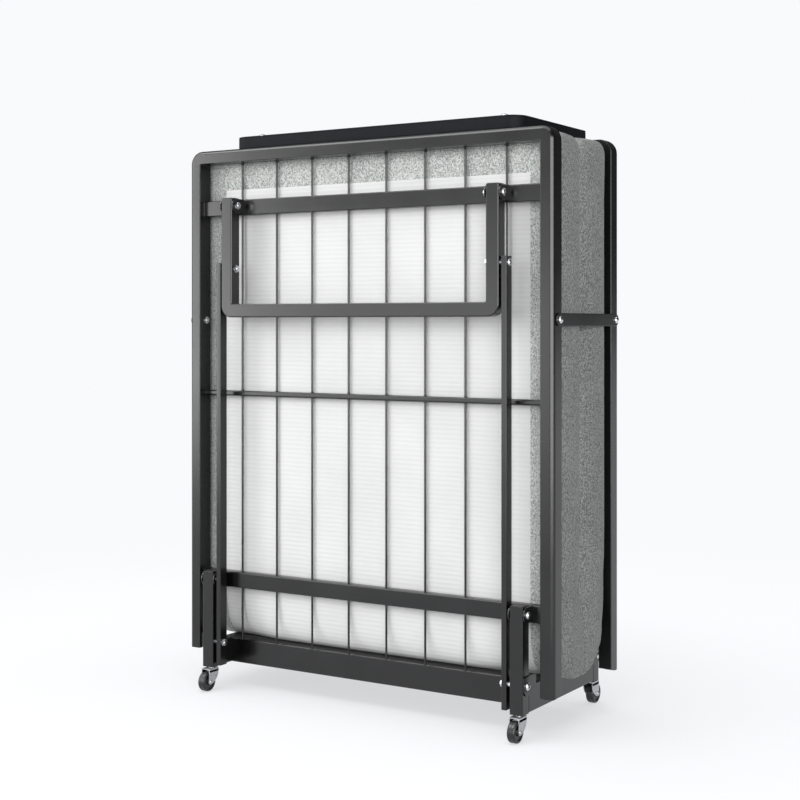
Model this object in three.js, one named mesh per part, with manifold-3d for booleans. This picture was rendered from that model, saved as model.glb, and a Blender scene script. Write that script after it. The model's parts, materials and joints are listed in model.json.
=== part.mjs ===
// Folding cot, stored folded upright on its casters.
// Millimetres. X runs across the bed, Y from the near deck to the far deck, Z up.
// The origin is on the floor, under the middle of the folded cot.
//
// Each half of the cot is built once, at negative Y, and the far half is the same half turned
// 180 degrees about Z. A half has a deck (U frame, two crossbars, wire grid), a U-shaped leg,
// two links, two posts and two casters. Deck, leg, link and post form a parallelogram on the
// four pivots A (post and deck), B (deck and leg), C (leg and link) and D (link and post).
import * as THREE from "three";
import { mergeVertices } from "three/addons/utils/BufferGeometryUtils.js";
import Module from "manifold-3d";

const wasm = await Module();
wasm.setup();

// ---- Driving dimensions ----
const GAP = 0.3; // between pieces that rest against each other
const CUT_MARGIN = 1; // how far a cutting tool reaches past what it cuts
const DECK_WIDTH = 780;
const DECK_TOP = 1031.5; // top of the folded deck frame
const DECK_BACK = 101.3; // from the mid-plane to the deck face that carries the mattress
const PIVOT_OFFSET = 140.8; // from the mid-plane to the plane of the four pivots
const PIVOT_A = 212; // height of the deck's pivot on the post
const PIVOT_SPAN = 710; // A to B, and D to C
const PIVOT_DROP = 119; // A down to D, and B down to C
const BASE_BOTTOM = 45.5; // underside of the base frame

// ---- Deck ----
const DECK_TUBE = 25; // width of the frame tube across the bed
const DECK_TUBE_DEEP = 32.5;
const DECK_END = 74; // height of the open tube ends
const DECK_BEND = 25;
const DECK_EDGE = 6;
const DECK_INSIDE = DECK_WIDTH / 2 - DECK_TUBE;
const END_RELIEF_START = 20; // the tube ends slope up from here to their inner edge
const END_RELIEF_RISE = 4.5;
const CROSSBAR_BACK = DECK_BACK + 2.3;
const CROSSBAR_FRONT = CROSSBAR_BACK + 17.9;
const CROSSBAR_BELOW = 16.5; // crossbar edges, from its pivot
const CROSSBAR_ABOVE = 13.5;
const EAR_THICK = 2.5;
const EAR_NOSE = 13.5;
const EAR_ROOT = 2; // how far an ear is let into its crossbar
const MID_BAR_HEIGHT = 10;
const MID_BAR_EDGE = 1;
const MID_BAR_Z = 566;
const MID_BAR_BACK = DECK_BACK + 0.1;
const MID_BAR_FRONT = DECK_BACK + 14.7;
const WIRE_RADIUS = 2;
const WIRE_COUNT = 8;
const WIRE_PITCH = 81.8;
const WIRE_BOTTOM = 93;
const WIRE_STEPS = 6;

// ---- Legs, links and posts ----
const BAR = 25; // square tube of the legs and posts
const BAR_EDGE = 2.5;
const LEG_OUTER = 297.2;
const LEG_BOTTOM = 711;
const LEG_TOP_ABOVE_B = 14;
const LEG_BEND = 22;
const LINK_INNER = 301;
const LINK_THICK = 10;
const LINK_WIDE = 20;
const LINK_EDGE = 2;
const LINK_TOP_ABOVE_C = 11;
const LINK_TAIL_BELOW_D = 43;
const POST_INNER = 317.6;
const POST_TOP_ABOVE_A = 14;
const EAR_TO_TUBE = 0.5; // play between an ear and the tube that it straddles
const GUSSET_THICK = 2.5;
const GUSSET_BACK = 108;
const GUSSET_FRONT = 152;
const GUSSET_HALF_HEIGHT = 16;
const GUSSET_CORNER = 8;

// ---- Base ----
const RAIL_HEIGHT = 47.5;
const CROSS_RAIL_FRONT = 94;
const CROSS_RAIL_DEEP = 35;
const RAIL_EDGE = 3;

// ---- Fasteners ----
const SHANK_RADIUS = 3.7;
const HOLE_RADIUS = 4.3;
const HEAD_RADIUS = 6.8;
const HEAD_RIM = 1; // straight rim under a domed head
const HEAD_HEIGHT = 4.6;
const LEG_HEAD_HEIGHT = 4;
const LATCH_HEAD_HEIGHT = 4.1;
const NUT_RADIUS = 6.4;
const NUT_LENGTH = 5;
const DECK_NUT_LENGTH = 2.5; // low, to clear the link beside it
const LINK_NUT_LENGTH = 4.5;
const LATCH_NUT_LENGTH = 3.5;
const BOARD_NUT_LENGTH = 2.8;
const SPACER_RADIUS = 6.2;
const ROUND_STEPS = 8;
const DOME_STEPS = 2;
const BEND_STEPS = 3; // half the facets of a large bend
const BEVEL_STEPS = 2;

// ---- Latch bars ----
const LATCH_Z = 706;
const LATCH_REACH = 115; // from the mid-plane to the pivot bolt, and to the stud
const LATCH_HALF_HEIGHT = 11;
const LATCH_THICK = 3;
const LATCH_INNER = DECK_WIDTH / 2 + 0.6;

// ---- Casters ----
const WHEEL_RADIUS = 18.5;
const WHEEL_WIDE = 15;
const WHEEL_SHOULDER = 2;
const WHEEL_BORE = 3.2;
const WHEEL_STEPS = 16;
const CASTER_TRAIL = 14.5;
const FORK_PLATE = 1.6;
const FORK_INSIDE = WHEEL_WIDE / 2 + 0.6;
const FORK_CROWN = 3.4; // thickness of the plate over the wheel
const FORK_BACK = 9; // crown and cheeks behind the swivel axis
const FORK_FRONT = 4; // crown and cheeks ahead of the axle
const FORK_SKIRT = 4; // depth of the cheeks under the crown's back edge
const AXLE_RADIUS = 2.8;
const AXLE_BOSS = 4.6;
const AXLE_HEAD = 1.2;
const STEM_RADIUS = 4;
const STEM_HEIGHT = 30;
const STEM_PLAY = 0.5;
const SOCKET_DEPTH = STEM_HEIGHT + 2;

// ---- Mattress and headboard ----
const MATTRESS_HALF_WIDE = 385;
const MATTRESS_FACE = 97.1; // outer face of a folded half
const MATTRESS_INNER = 0.5;
const MATTRESS_TOP = 1023;
const MATTRESS_SPLIT = 213; // the fold starts below this
const MATTRESS_EDGE = 12;
const FOLD_SPRING_Z = 183; // the fold's round starts here
const FOLD_BOTTOM = 94;
const BOARD_HALF_WIDE = 310.5;
const BOARD_NEAR = -101;
const BOARD_FAR = PIVOT_OFFSET + CASTER_TRAIL + WHEEL_RADIUS; // in line with the caster wheels
const BOARD_BOTTOM = 1033;
const BOARD_THICK = 25;
const BOARD_CORNER_NEAR = 30;
const BOARD_CORNER_FAR = 12;
const BOARD_EDGE = 2;
const BOARD_BOLT_X = 264;
const BOARD_BOLT_Y = -68;
const BOARD_HEAD_RADIUS = 9;
const BOARD_HEAD_HEIGHT = 6.7;
const TAB_HALF_WIDE = 15;
const TAB_THICK = 5.2;
const TAB_OVERLAP = 8; // how far a tab lies over the deck tube
const TAB_END = 50;

// ---- Finishes ----
function finish(color, roughness, metalness) {
  return new THREE.MeshStandardMaterial({ color, roughness, metalness });
}

const BLACK_PAINT = finish(0x191a1c, 0.32, 0.1);
const CHROME = finish(0xc9ccd1, 0.15, 1);
const RUBBER = finish(0x121315, 0.6, 0);
const FABRIC = finish(0x8d918e, 0.95, 0);
const BOARD = finish(0x26272c, 0.7, 0);

// ---- Derived places ----
const PIVOT_B = PIVOT_A + PIVOT_SPAN;
const PIVOT_C = PIVOT_B - PIVOT_DROP;
const PIVOT_D = PIVOT_A - PIVOT_DROP;
const BAR_FRONT = PIVOT_OFFSET + BAR / 2;
const BAR_BACK = PIVOT_OFFSET - BAR / 2;
const LEG_INNER = LEG_OUTER - BAR;
const LINK_OUTER = LINK_INNER + LINK_THICK;
const POST_OUTER = POST_INNER + BAR;
const POST_CENTRE = POST_INNER + BAR / 2;
const RAIL_TOP = BASE_BOTTOM + RAIL_HEIGHT;
const LATCH_OUTER = LATCH_INNER + LATCH_THICK;

// ---- Shape helpers ----
const X = new THREE.Vector3(1, 0, 0);
const Y = new THREE.Vector3(0, 1, 0);
const Z = new THREE.Vector3(0, 0, 1);
const EXTRUDE_BASIS = {
  x: new THREE.Matrix4().makeBasis(Y, Z, X), // outline in Y, Z
  y: new THREE.Matrix4().makeBasis(X, Z, Y.clone().negate()), // outline in X, Z
  z: new THREE.Matrix4(), // outline in X, Y
};

function toSolid(geometry) {
  const bare = geometry.clone();
  bare.deleteAttribute("normal");
  bare.deleteAttribute("uv");
  const merged = mergeVertices(bare, 1e-4);
  const vertProperties = merged.attributes.position.array;
  const triVerts = new Uint32Array(merged.index.array);
  return new wasm.Manifold(new wasm.Mesh({ numProp: 3, vertProperties, triVerts }));
}

function toGeometry(manifold) {
  const mesh = manifold.getMesh();
  const indexed = new THREE.BufferGeometry();
  indexed.setAttribute("position", new THREE.BufferAttribute(mesh.vertProperties, 3));
  indexed.setIndex(new THREE.BufferAttribute(mesh.triVerts, 1));
  const flat = indexed.toNonIndexed();
  flat.computeVertexNormals();
  return flat;
}

function joinAndCut(added, removed = []) {
  let body = toSolid(added[0]);
  for (const piece of added.slice(1)) {
    body = body.add(toSolid(piece));
  }
  for (const tool of removed) {
    body = body.subtract(toSolid(tool));
  }
  return toGeometry(body);
}

// Extrudes an outline between two places on an axis, with rounded rims where bevel is over zero.
function extrude(outline, axis, from, to, bevel = 0, curveSegments = 1) {
  const geometry = new THREE.ExtrudeGeometry(outline, {
    depth: to - from - 2 * bevel,
    curveSegments,
    bevelEnabled: bevel > 0,
    bevelThickness: bevel,
    bevelSize: bevel,
    bevelOffset: -bevel,
    bevelSegments: BEVEL_STEPS,
  });
  geometry.translate(0, 0, bevel + (axis === "y" ? -to : from));
  return geometry.applyMatrix4(EXTRUDE_BASIS[axis]);
}

function roundedRectangle(u0, u1, v0, v1, radius) {
  const outline = new THREE.Shape();
  outline.moveTo(u0 + radius, v0);
  outline.lineTo(u1 - radius, v0);
  outline.absarc(u1 - radius, v0 + radius, radius, -Math.PI / 2, 0, false);
  outline.absarc(u1 - radius, v1 - radius, radius, 0, Math.PI / 2, false);
  outline.absarc(u0 + radius, v1 - radius, radius, Math.PI / 2, Math.PI, false);
  outline.absarc(u0 + radius, v0 + radius, radius, Math.PI, 1.5 * Math.PI, false);
  return outline;
}

// A U of square-cut tube: closed at closedZ, with open ends at openZ.
function uOutline(outer, tube, closedZ, openZ, bend) {
  const way = Math.sign(closedZ - openZ);
  const inner = outer - tube;
  const bendZ = closedZ - way * bend;
  const outline = new THREE.Shape();
  outline.moveTo(-outer, openZ);
  outline.lineTo(-outer, bendZ);
  outline.absarc(-outer + bend, bendZ, bend, Math.PI, way * Math.PI / 2, way > 0);
  outline.absarc(outer - bend, bendZ, bend, way * Math.PI / 2, 0, way > 0);
  outline.lineTo(outer, openZ);
  outline.lineTo(inner, openZ);
  outline.lineTo(inner, closedZ - way * tube);
  outline.lineTo(-inner, closedZ - way * tube);
  outline.lineTo(-inner, openZ);
  return outline;
}

function block(x0, x1, y0, y1, z0, z1) {
  const geometry = new THREE.BoxGeometry(x1 - x0, y1 - y0, z1 - z0);
  return geometry.translate((x0 + x1) / 2, (y0 + y1) / 2, (z0 + z1) / 2);
}

// A round bar along X, at the given Y and Z.
function roundX(x0, x1, y, z, radius) {
  const geometry = new THREE.CylinderGeometry(radius, radius, x1 - x0, ROUND_STEPS);
  return geometry.rotateZ(-Math.PI / 2).translate((x0 + x1) / 2, y, z);
}

// The tool for a bolt hole along X, from x0 to x1.
function holeX(x0, x1, y, z) {
  return roundX(x0 - CUT_MARGIN, x1 + CUT_MARGIN, y, z, HOLE_RADIUS);
}

// A round bar along Z, at the given X and Y.
function roundZ(x, y, z0, z1, radius, steps = ROUND_STEPS) {
  const geometry = new THREE.CylinderGeometry(radius, radius, z1 - z0, steps);
  return geometry.rotateX(Math.PI / 2).translate(x, y, (z0 + z1) / 2);
}

// Both signs of a distance from the middle, in rising order.
function across(side, inner, outer) {
  return side > 0 ? [inner, outer] : [-outer, -inner];
}

// A turned fastener along local Y: collars of [radius, from, to], then a domed head.
function turned(collars, headRadius, headFrom, headTo) {
  const profile = [new THREE.Vector2(0, collars[0][1])];
  for (const [radius, from, to] of collars) {
    profile.push(new THREE.Vector2(radius, from));
    profile.push(new THREE.Vector2(radius, to));
  }
  profile.push(new THREE.Vector2(headRadius, headFrom));
  const rim = headFrom + HEAD_RIM;
  for (let i = 0; i < DOME_STEPS; i += 1) {
    const angle = (i / DOME_STEPS) * (Math.PI / 2);
    const height = rim + (headTo - rim) * Math.sin(angle);
    profile.push(new THREE.Vector2(headRadius * Math.cos(angle), height));
  }
  profile.push(new THREE.Vector2(0, headTo));
  return new THREE.LatheGeometry(profile, ROUND_STEPS);
}

// The same fastener lying along X, its head outwards.
function pivotBolt(side, z, y, collars, headFrom, headTo) {
  const bolt = turned(collars, HEAD_RADIUS, headFrom, headTo);
  return bolt.rotateZ(-side * Math.PI / 2).translate(0, y, z);
}

// ---- Deck ----
function deckFrame(withBoardTabs) {
  const outer = DECK_WIDTH / 2;
  const front = -DECK_BACK - DECK_TUBE_DEEP;
  const outline = uOutline(outer, DECK_TUBE, DECK_TOP, DECK_END, DECK_BEND);
  const added = [extrude(outline, "y", front, -DECK_BACK, DECK_EDGE, BEND_STEPS)];
  const removed = [holeX(-outer, outer, -LATCH_REACH, LATCH_Z)];
  // The inner edge of each open end is trimmed, so that the two decks pass each other.
  const relief = new THREE.Shape();
  const reliefStart = -DECK_BACK - END_RELIEF_START;
  const reliefEnd = -DECK_BACK + CUT_MARGIN;
  relief.moveTo(reliefStart, DECK_END - CUT_MARGIN);
  relief.lineTo(reliefEnd, DECK_END - CUT_MARGIN);
  relief.lineTo(reliefEnd, DECK_END + END_RELIEF_RISE);
  relief.lineTo(reliefStart, DECK_END);
  removed.push(extrude(relief, "x", -outer - CUT_MARGIN, outer + CUT_MARGIN));
  if (withBoardTabs) {
    const z1 = BOARD_BOTTOM - GAP;
    const z0 = z1 - TAB_THICK;
    const y0 = -DECK_BACK - TAB_OVERLAP;
    for (const x of [-BOARD_BOLT_X, BOARD_BOLT_X]) {
      added.push(block(x - TAB_HALF_WIDE, x + TAB_HALF_WIDE, y0, -TAB_END, z0, z1));
      removed.push(roundZ(x, BOARD_BOLT_Y, z0 - CUT_MARGIN, z1 + CUT_MARGIN, HOLE_RADIUS));
    }
  }
  return joinAndCut(added, removed);
}

function ear(pivotZ, x0, x1) {
  const root = -CROSSBAR_FRONT + EAR_ROOT;
  const outline = new THREE.Shape();
  outline.moveTo(root, pivotZ - EAR_NOSE);
  outline.lineTo(root, pivotZ + EAR_NOSE);
  outline.absarc(-PIVOT_OFFSET, pivotZ, EAR_NOSE, Math.PI / 2, 1.5 * Math.PI, false);
  return extrude(outline, "x", x0, x1, 0, BEND_STEPS);
}

// A crossbar with a pair of ears straddling the tube (tubeInner to tubeOuter) on each side.
function crossbar(pivotZ, tubeInner, tubeOuter) {
  const bottom = pivotZ - CROSSBAR_BELOW;
  const top = pivotZ + CROSSBAR_ABOVE;
  const section = roundedRectangle(-CROSSBAR_FRONT, -CROSSBAR_BACK, bottom, top, BAR_EDGE);
  const added = [extrude(section, "x", -DECK_INSIDE + GAP, DECK_INSIDE - GAP)];
  const innerEar = tubeInner - EAR_TO_TUBE - EAR_THICK;
  const outerEar = tubeOuter + EAR_TO_TUBE;
  for (const side of [-1, 1]) {
    added.push(ear(pivotZ, ...across(side, innerEar, innerEar + EAR_THICK)));
    added.push(ear(pivotZ, ...across(side, outerEar, outerEar + EAR_THICK)));
  }
  const hole = roundX(-DECK_INSIDE, DECK_INSIDE, -PIVOT_OFFSET, pivotZ, HOLE_RADIUS);
  return joinAndCut(added, [hole]);
}

function wireGrid() {
  const bottom = MID_BAR_Z - MID_BAR_HEIGHT / 2;
  const top = MID_BAR_Z + MID_BAR_HEIGHT / 2;
  const section = roundedRectangle(-MID_BAR_FRONT, -MID_BAR_BACK, bottom, top, MID_BAR_EDGE);
  const added = [extrude(section, "x", -DECK_INSIDE + GAP, DECK_INSIDE - GAP)];
  const wireTop = DECK_TOP - DECK_TUBE - GAP;
  for (let i = 0; i < WIRE_COUNT; i += 1) {
    const x = (i - (WIRE_COUNT - 1) / 2) * WIRE_PITCH;
    added.push(roundZ(x, -DECK_BACK, WIRE_BOTTOM, wireTop, WIRE_RADIUS, WIRE_STEPS));
  }
  return joinAndCut(added);
}

// ---- Legs and links ----
function leg() {
  const outline = uOutline(LEG_OUTER, BAR, LEG_BOTTOM, PIVOT_B + LEG_TOP_ABOVE_B, LEG_BEND);
  const body = extrude(outline, "y", -BAR_FRONT, -BAR_BACK, BAR_EDGE, BEND_STEPS);
  const holes = [PIVOT_B, PIVOT_C].map((z) => holeX(-LEG_OUTER, LEG_OUTER, -PIVOT_OFFSET, z));
  return joinAndCut([body], holes);
}

function link(side) {
  const y0 = -PIVOT_OFFSET - LINK_WIDE / 2;
  const bottom = PIVOT_D - LINK_TAIL_BELOW_D;
  const top = PIVOT_C + LINK_TOP_ABOVE_C;
  const outline = roundedRectangle(y0, y0 + LINK_WIDE, bottom, top, LINK_EDGE);
  const [x0, x1] = across(side, LINK_INNER, LINK_OUTER);
  const holes = [PIVOT_C, PIVOT_D].map((z) => holeX(x0, x1, -PIVOT_OFFSET, z));
  return joinAndCut([extrude(outline, "x", x0, x1)], holes);
}

// ---- Base ----
function post(side) {
  const [x0, x1] = across(side, POST_INNER, POST_OUTER);
  const section = roundedRectangle(x0, x1, -BAR_FRONT, -BAR_BACK, BAR_EDGE);
  const tube = extrude(section, "z", BASE_BOTTOM, PIVOT_A + POST_TOP_ABOVE_A);
  // A flat gusset on the outside ties the post to the side rail around pivot D.
  const outline = new THREE.Shape();
  outline.moveTo(-GUSSET_BACK, PIVOT_D - GUSSET_HALF_HEIGHT);
  outline.lineTo(-GUSSET_BACK, PIVOT_D + GUSSET_HALF_HEIGHT);
  outline.lineTo(-GUSSET_FRONT, PIVOT_D + GUSSET_HALF_HEIGHT);
  outline.lineTo(-GUSSET_FRONT, PIVOT_D - GUSSET_HALF_HEIGHT + GUSSET_CORNER);
  outline.lineTo(-GUSSET_FRONT + GUSSET_CORNER, PIVOT_D - GUSSET_HALF_HEIGHT);
  const gusset = extrude(outline, "x", ...across(side, POST_OUTER, POST_OUTER + GUSSET_THICK));
  const [hole0, hole1] = across(side, POST_INNER, POST_OUTER + GUSSET_THICK);
  const holes = [PIVOT_A, PIVOT_D].map((z) => holeX(hole0, hole1, -PIVOT_OFFSET, z));
  const x = side * POST_CENTRE;
  const socketFrom = BASE_BOTTOM - CUT_MARGIN;
  const socketTo = BASE_BOTTOM + SOCKET_DEPTH;
  const socket = roundZ(x, -PIVOT_OFFSET, socketFrom, socketTo, STEM_RADIUS + STEM_PLAY);
  return joinAndCut([tube, gusset], [...holes, socket]);
}

function sideRail(side) {
  const [x0, x1] = across(side, POST_INNER + GAP, POST_OUTER - GAP);
  const section = roundedRectangle(x0, x1, BASE_BOTTOM, RAIL_TOP, RAIL_EDGE);
  return extrude(section, "y", -BAR_BACK + GAP, BAR_BACK - GAP);
}

function crossRail() {
  const back = CROSS_RAIL_FRONT - CROSS_RAIL_DEEP;
  const section = roundedRectangle(-CROSS_RAIL_FRONT, -back, BASE_BOTTOM, RAIL_TOP, RAIL_EDGE);
  return extrude(section, "x", -POST_INNER, POST_INNER);
}

// ---- Casters, built about their own swivel axis, wheel trailing towards -Y ----
function casterFork() {
  const outside = FORK_INSIDE + FORK_PLATE;
  const crownTop = BASE_BOTTOM - GAP;
  const crownBottom = crownTop - FORK_CROWN;
  const crownFront = -CASTER_TRAIL - FORK_FRONT;
  const added = [block(-outside, outside, crownFront, FORK_BACK, crownBottom, crownTop)];
  for (const side of [-1, 1]) {
    const cheek = new THREE.Shape();
    cheek.moveTo(FORK_BACK, crownTop);
    cheek.lineTo(crownFront, crownTop);
    cheek.lineTo(-CASTER_TRAIL - AXLE_BOSS, WHEEL_RADIUS);
    cheek.absarc(-CASTER_TRAIL, WHEEL_RADIUS, AXLE_BOSS, Math.PI, 1.75 * Math.PI, false);
    cheek.lineTo(FORK_BACK, crownBottom - FORK_SKIRT);
    added.push(extrude(cheek, "x", ...across(side, FORK_INSIDE, outside)));
  }
  const axleEnd = outside + AXLE_HEAD;
  added.push(roundX(-axleEnd, axleEnd, -CASTER_TRAIL, WHEEL_RADIUS, AXLE_RADIUS));
  added.push(roundZ(0, 0, crownBottom, crownTop + STEM_HEIGHT, STEM_RADIUS));
  return joinAndCut(added);
}

function casterWheel() {
  const half = WHEEL_WIDE / 2;
  const profile = [
    [WHEEL_BORE, -half],
    [WHEEL_RADIUS - WHEEL_SHOULDER, -half],
    [WHEEL_RADIUS, -half + WHEEL_SHOULDER],
    [WHEEL_RADIUS, half - WHEEL_SHOULDER],
    [WHEEL_RADIUS - WHEEL_SHOULDER, half],
    [WHEEL_BORE, half],
    [WHEEL_BORE, -half],
  ].map(([radius, along]) => new THREE.Vector2(radius, along));
  const wheel = new THREE.LatheGeometry(profile, WHEEL_STEPS);
  return wheel.rotateZ(-Math.PI / 2).translate(0, -CASTER_TRAIL, WHEEL_RADIUS);
}

// ---- Pivot bolts ----
function boltA(side) {
  const inside = POST_INNER - EAR_TO_TUBE - EAR_THICK - GAP;
  const outside = POST_OUTER + EAR_TO_TUBE + EAR_THICK + GAP;
  const collars = [[NUT_RADIUS, inside - DECK_NUT_LENGTH, inside], [SHANK_RADIUS, inside, outside]];
  return pivotBolt(side, PIVOT_A, -PIVOT_OFFSET, collars, outside, outside + HEAD_HEIGHT);
}

function boltB(side) {
  const inside = LEG_INNER - EAR_TO_TUBE - EAR_THICK - GAP;
  const outside = LEG_OUTER + EAR_TO_TUBE + EAR_THICK + GAP;
  const collars = [[NUT_RADIUS, inside - NUT_LENGTH, inside], [SHANK_RADIUS, inside, outside]];
  return pivotBolt(side, PIVOT_B, -PIVOT_OFFSET, collars, outside, outside + LEG_HEAD_HEIGHT);
}

function boltC(side) {
  const inside = LEG_INNER - GAP;
  const spacerFrom = LEG_OUTER + GAP;
  const spacerTo = LINK_INNER - GAP;
  const outside = LINK_OUTER + GAP;
  const collars = [
    [NUT_RADIUS, inside - NUT_LENGTH, inside],
    [SHANK_RADIUS, inside, spacerFrom],
    [SPACER_RADIUS, spacerFrom, spacerTo],
    [SHANK_RADIUS, spacerTo, outside],
  ];
  return pivotBolt(side, PIVOT_C, -PIVOT_OFFSET, collars, outside, outside + HEAD_HEIGHT);
}

function boltD(side) {
  const inside = LINK_INNER - GAP;
  const spacerFrom = LINK_OUTER + GAP;
  const spacerTo = POST_INNER - GAP;
  const outside = POST_OUTER + GUSSET_THICK + GAP;
  const collars = [
    [NUT_RADIUS, inside - LINK_NUT_LENGTH, inside],
    [SHANK_RADIUS, inside, spacerFrom],
    [SPACER_RADIUS, spacerFrom, spacerTo],
    [SHANK_RADIUS, spacerTo, outside],
  ];
  return pivotBolt(side, PIVOT_D, -PIVOT_OFFSET, collars, outside, outside + HEAD_HEIGHT);
}

function latchBolt(side, y) {
  const inside = DECK_INSIDE - GAP;
  const outside = LATCH_OUTER + GAP;
  const collars = [[NUT_RADIUS, inside - LATCH_NUT_LENGTH, inside], [SHANK_RADIUS, inside, outside]];
  return pivotBolt(side, LATCH_Z, y, collars, outside, outside + LATCH_HEAD_HEIGHT);
}

function boardBolt(x) {
  const nutTop = BOARD_BOTTOM - GAP - TAB_THICK - GAP;
  const headFrom = BOARD_BOTTOM + BOARD_THICK + GAP;
  const collars = [[NUT_RADIUS, nutTop - BOARD_NUT_LENGTH, nutTop], [SHANK_RADIUS, nutTop, headFrom]];
  const bolt = turned(collars, BOARD_HEAD_RADIUS, headFrom, headFrom + BOARD_HEAD_HEIGHT);
  return bolt.rotateX(Math.PI / 2).translate(x, BOARD_BOLT_Y, 0);
}

// ---- Latch bars ----
function latchBar(side) {
  const half = LATCH_HALF_HEIGHT;
  const outline = new THREE.Shape();
  outline.moveTo(-LATCH_REACH, LATCH_Z - half);
  outline.lineTo(LATCH_REACH, LATCH_Z - half);
  outline.absarc(LATCH_REACH, LATCH_Z, half, -Math.PI / 2, Math.PI / 2, false);
  outline.absarc(-LATCH_REACH, LATCH_Z, half, Math.PI / 2, 1.5 * Math.PI, false);
  const [x0, x1] = across(side, LATCH_INNER, LATCH_OUTER);
  const bar = extrude(outline, "x", x0, x1, 0, BEND_STEPS);
  const hole = holeX(x0, x1, -LATCH_REACH, LATCH_Z);
  const notchEnd = holeX(x0, x1, LATCH_REACH, LATCH_Z);
  const y0 = LATCH_REACH - HOLE_RADIUS;
  const y1 = LATCH_REACH + HOLE_RADIUS;
  const notchFrom = LATCH_Z - half - CUT_MARGIN;
  const notch = block(x0 - CUT_MARGIN, x1 + CUT_MARGIN, y0, y1, notchFrom, LATCH_Z);
  return joinAndCut([bar], [hole, notchEnd, notch]);
}

// ---- Mattress and headboard ----
function mattressHalf() {
  const outline = roundedRectangle(
    -MATTRESS_HALF_WIDE, MATTRESS_HALF_WIDE, MATTRESS_SPLIT, MATTRESS_TOP, MATTRESS_EDGE);
  return extrude(outline, "y", -MATTRESS_FACE, -MATTRESS_INNER);
}

function mattressFold() {
  const top = MATTRESS_SPLIT - GAP;
  const outline = new THREE.Shape();
  outline.moveTo(-MATTRESS_INNER, top);
  outline.lineTo(-MATTRESS_FACE, top);
  outline.lineTo(-MATTRESS_FACE, FOLD_SPRING_Z);
  outline.absellipse(
    -MATTRESS_INNER, FOLD_SPRING_Z,
    MATTRESS_FACE - MATTRESS_INNER, FOLD_SPRING_Z - FOLD_BOTTOM,
    Math.PI, 1.5 * Math.PI, false);
  return extrude(outline, "x", -MATTRESS_HALF_WIDE, MATTRESS_HALF_WIDE, 0, BEND_STEPS);
}

function headboard() {
  const near = BOARD_CORNER_NEAR;
  const far = BOARD_CORNER_FAR;
  const half = BOARD_HALF_WIDE;
  const outline = new THREE.Shape();
  outline.moveTo(-half + near, BOARD_NEAR);
  outline.lineTo(half - near, BOARD_NEAR);
  outline.absarc(half - near, BOARD_NEAR + near, near, -Math.PI / 2, 0, false);
  outline.absarc(half - far, BOARD_FAR - far, far, 0, Math.PI / 2, false);
  outline.absarc(-half + far, BOARD_FAR - far, far, Math.PI / 2, Math.PI, false);
  outline.absarc(-half + near, BOARD_NEAR + near, near, Math.PI, 1.5 * Math.PI, false);
  const top = BOARD_BOTTOM + BOARD_THICK;
  const board = extrude(outline, "z", BOARD_BOTTOM, top, BOARD_EDGE, BEND_STEPS);
  const holes = [-BOARD_BOLT_X, BOARD_BOLT_X].map(
    (x) => roundZ(x, BOARD_BOLT_Y, BOARD_BOTTOM - CUT_MARGIN, top + CUT_MARGIN, HOLE_RADIUS));
  return joinAndCut([board], holes);
}

// ---- Assembly ----
function addMesh(group, name, geometry, material) {
  const mesh = new THREE.Mesh(geometry, material);
  mesh.name = name;
  group.add(mesh);
  return mesh;
}

// half is "near" or "far". Turning the far half about Z swaps its left and right.
function cotHalf(half) {
  const group = new THREE.Group();
  const isFar = half === "far";
  group.rotation.z = isFar ? Math.PI : 0;

  addMesh(group, `deck_frame_${half}`, deckFrame(!isFar), BLACK_PAINT);
  addMesh(group, `upper_crossbar_${half}`, crossbar(PIVOT_B, LEG_INNER, LEG_OUTER), BLACK_PAINT);
  addMesh(group, `lower_crossbar_${half}`, crossbar(PIVOT_A, POST_INNER, POST_OUTER), BLACK_PAINT);
  addMesh(group, `wire_grid_${half}`, wireGrid(), BLACK_PAINT);
  addMesh(group, `leg_${half}`, leg(), BLACK_PAINT);
  addMesh(group, `cross_rail_${half}`, crossRail(), BLACK_PAINT);
  addMesh(group, `mattress_${half}`, mattressHalf(), FABRIC);
  addMesh(group, `mattress_fold_${half}`, mattressFold(), FABRIC);

  for (const side of [-1, 1]) {
    const corner = `${half}_${(side > 0) !== isFar ? "right" : "left"}`;
    addMesh(group, `post_${corner}`, post(side), BLACK_PAINT);
    addMesh(group, `link_${corner}`, link(side), BLACK_PAINT);
    addMesh(group, `deck_bolt_${corner}`, boltA(side), CHROME);
    addMesh(group, `leg_bolt_${corner}`, boltB(side), CHROME);
    addMesh(group, `link_top_bolt_${corner}`, boltC(side), CHROME);
    addMesh(group, `link_base_bolt_${corner}`, boltD(side), CHROME);

    const caster = new THREE.Group();
    caster.position.set(side * POST_CENTRE, -PIVOT_OFFSET, 0);
    addMesh(caster, `caster_fork_${corner}`, casterFork(), CHROME);
    addMesh(caster, `caster_wheel_${corner}`, casterWheel(), RUBBER);
    group.add(caster);
  }
  return group;
}

const cot = new THREE.Group();
cot.add(cotHalf("near"));
cot.add(cotHalf("far"));
for (const [label, side] of [["left", -1], ["right", 1]]) {
  addMesh(cot, `side_rail_${label}`, sideRail(side), BLACK_PAINT);
  addMesh(cot, `latch_bar_${label}`, latchBar(side), BLACK_PAINT);
  addMesh(cot, `latch_bolt_${label}`, latchBolt(side, -LATCH_REACH), CHROME);
  addMesh(cot, `latch_stud_${label}`, latchBolt(side, LATCH_REACH), CHROME);
  addMesh(cot, `headboard_bolt_${label}`, boardBolt(side * BOARD_BOLT_X), CHROME);
}
addMesh(cot, "headboard", headboard(), BOARD);

export default cot;
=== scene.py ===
import json
import math

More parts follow.
